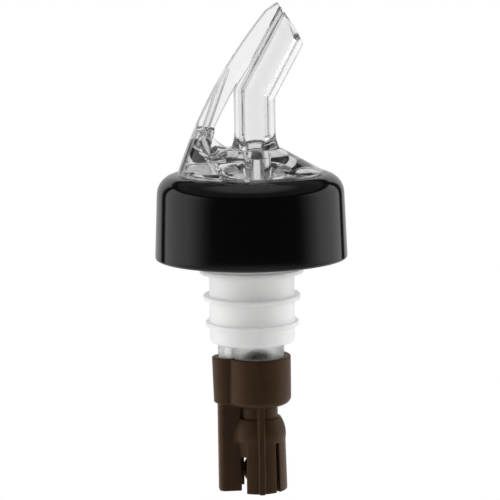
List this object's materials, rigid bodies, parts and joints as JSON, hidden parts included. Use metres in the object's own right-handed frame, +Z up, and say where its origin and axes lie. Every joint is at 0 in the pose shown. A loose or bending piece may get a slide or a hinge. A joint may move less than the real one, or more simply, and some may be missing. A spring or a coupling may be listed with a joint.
{
  "type": "measured pourer",
  "caption": "Ball-controlled measured pourer for a bottle, with a clear angled spout on a black collar, a ribbed cork and a slotted timing tail.",
  "frame": {"origin": "on the pourer's axis, in the middle of the sealing rib that grips the bottle neck", "axes": "+Z up along the pourer's axis, towards the spout; +X the way it pours; the XZ plane is the plane of symmetry"},
  "size_m": [0.041, 0.041, 0.1044],
  "materials": {
    "clear_plastic": "clear, polished",
    "seal_rubber": "soft, grey",
    "black_plastic": "glossy black",
    "milky_plastic": "milky, satin",
    "tube_plastic": "clear",
    "brown_plastic": "dark brown, moulded",
    "ball_steel": "polished"
  },
  "bodies": {
    "root": {"spout": "clear_plastic", "outlet_seal": "seal_rubber", "collar": "black_plastic", "cork": "milky_plastic", "metering_tube": "tube_plastic", "tail": "brown_plastic"},
    "metering_ball": {"metering_ball": "ball_steel"},
    "trigger_ball": {"trigger_ball": "ball_steel"},
    "breather_ball": {"breather_ball": "ball_steel"}
  },
  "joints": [
    {"name": "metering_ball_travel", "type": "slide", "parent": "root", "child": "metering_ball", "axis": [0, 0, 1], "range_m": [0, 0.0375]},
    {"name": "trigger_ball_travel", "type": "slide", "parent": "root", "child": "trigger_ball", "axis": [0, 0, 1], "range_m": [0, 0.0025]},
    {"name": "breather_ball_travel", "type": "slide", "parent": "root", "child": "breather_ball", "axis": [0, 0, 1], "range_m": [0, 0.0036]}
  ]
}
